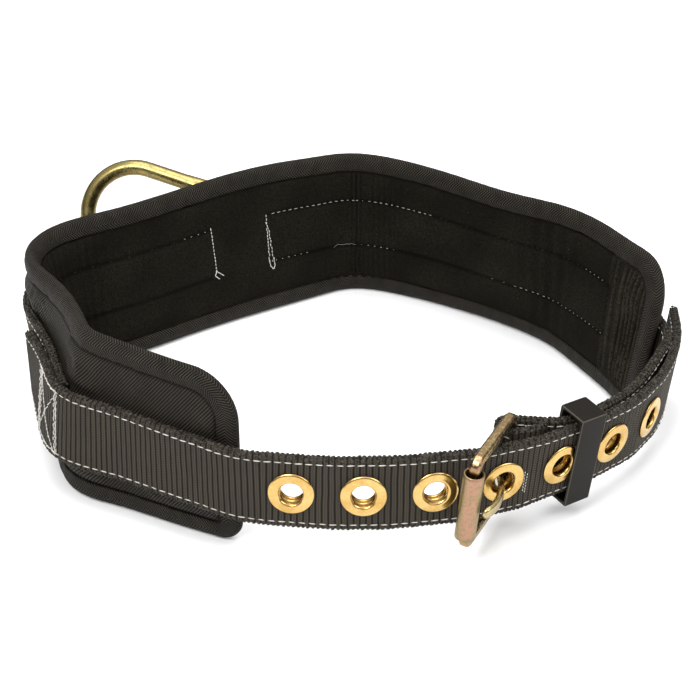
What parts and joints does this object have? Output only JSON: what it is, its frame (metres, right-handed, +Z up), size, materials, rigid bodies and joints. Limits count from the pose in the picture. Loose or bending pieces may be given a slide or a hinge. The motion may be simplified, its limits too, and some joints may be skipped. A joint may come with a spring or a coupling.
{
  "type": "restraint body belt",
  "caption": "Padded restraint body belt with a side D-ring, a grommeted strap, a roller tongue buckle and a strap keeper, fastened round an empty waist.",
  "frame": {"origin": "on the surface that the belt stands on, under the middle of its outline", "axes": "+Z up as worn; the buckle is on the -Y side, the middle of the pad on the +Y side, +X towards the wearer's left"},
  "size_m": [0.3938, 0.3392, 0.1016],
  "materials": {
    "nylon_cover": "black ribbed ballistic nylon",
    "brushed_lining": "dull black brushed lining",
    "binding_tape": "black herringbone tape",
    "webbing": "black cross-ribbed webbing with white stitching",
    "grommet_brass": "bright rolled brass",
    "yellow_zinc": "brown-gold zinc plating with worn edges",
    "pink_zinc": "pinkish gold zinc plating",
    "gold_zinc": "yellow zinc plating with green and pink tints",
    "keeper_plastic": "satin moulded plastic"
  },
  "bodies": {
    "belt": {"pad_body": "nylon_cover", "pad_lining": "brushed_lining", "pad_binding": "binding_tape", "base_strap": "webbing", "grommet_strap": "webbing", "grommet_1": "grommet_brass", "grommet_2": "grommet_brass", "grommet_3": "grommet_brass", "grommet_4": "grommet_brass", "grommet_5": "grommet_brass", "grommet_6": "grommet_brass", "grommet_7": "grommet_brass", "buckle_frame": "yellow_zinc", "buckle_roller": "pink_zinc", "buckle_tongue": "gold_zinc", "strap_keeper": "keeper_plastic"},
    "d_ring": {"d_ring": "gold_zinc"}
  },
  "joints": [
    {"name": "d_ring_swing", "type": "hinge", "parent": "belt", "child": "d_ring", "pos_m": [-0.08697, 0.1259, 0.04939], "axis": [0.3061, 0.3251, 0.8948], "range_deg": [-90, 2]}
  ]
}
